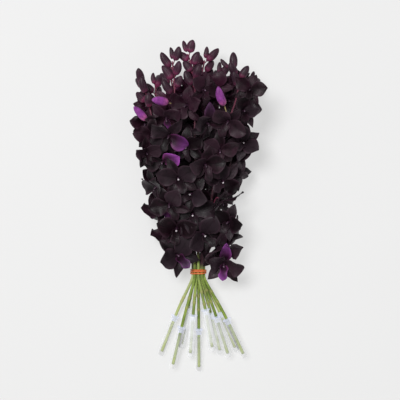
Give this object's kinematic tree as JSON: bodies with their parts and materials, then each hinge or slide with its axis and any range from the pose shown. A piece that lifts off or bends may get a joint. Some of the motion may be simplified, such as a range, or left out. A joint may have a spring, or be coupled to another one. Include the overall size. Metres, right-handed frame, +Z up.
{
  "type": "bunch of cut dendrobium orchid stems",
  "caption": "Bunch of dark dyed dendrobium orchid sprays lying flat, tied with a rubber band, each cut stem in a capped water tube.",
  "frame": {"origin": "on the surface that the bunch lies on, under the middle of the bunch's box", "axes": "+Y along the bunch from the cut ends towards the flowers, +Z up, away from the surface, +X to the right as seen from above"},
  "size_m": [0.1936, 0.4968, 0.1312],
  "materials": {
    "spray": "waxy dark purple petals on green stems",
    "tube_plastic": "clear",
    "cap_plastic": "milky, soft",
    "water": "clear water",
    "rubber": "matt, orange"
  },
  "bodies": {
    "root": {"spray_01": "spray", "spray_02": "spray", "spray_03": "spray", "spray_04": "spray", "spray_05": "spray", "spray_06": "spray", "spray_07": "spray", "spray_08": "spray", "spray_09": "spray", "spray_10": "spray", "water_tube_01": "tube_plastic", "water_tube_02": "tube_plastic", "water_tube_03": "tube_plastic", "water_tube_04": "tube_plastic", "water_tube_05": "tube_plastic", "water_tube_06": "tube_plastic", "water_tube_07": "tube_plastic", "water_tube_08": "tube_plastic", "water_tube_09": "tube_plastic", "water_tube_10": "tube_plastic", "tube_cap_01": "cap_plastic", "tube_cap_02": "cap_plastic", "tube_cap_03": "cap_plastic", "tube_cap_04": "cap_plastic", "tube_cap_05": "cap_plastic", "tube_cap_06": "cap_plastic", "tube_cap_07": "cap_plastic", "tube_cap_08": "cap_plastic", "tube_cap_09": "cap_plastic", "tube_cap_10": "cap_plastic", "tube_water_01": "water", "tube_water_02": "water", "tube_water_03": "water", "tube_water_04": "water", "tube_water_05": "water", "tube_water_06": "water", "tube_water_07": "water", "tube_water_08": "water", "tube_water_09": "water", "tube_water_10": "water", "rubber_band": "rubber"}
  },
  "joints": []
}
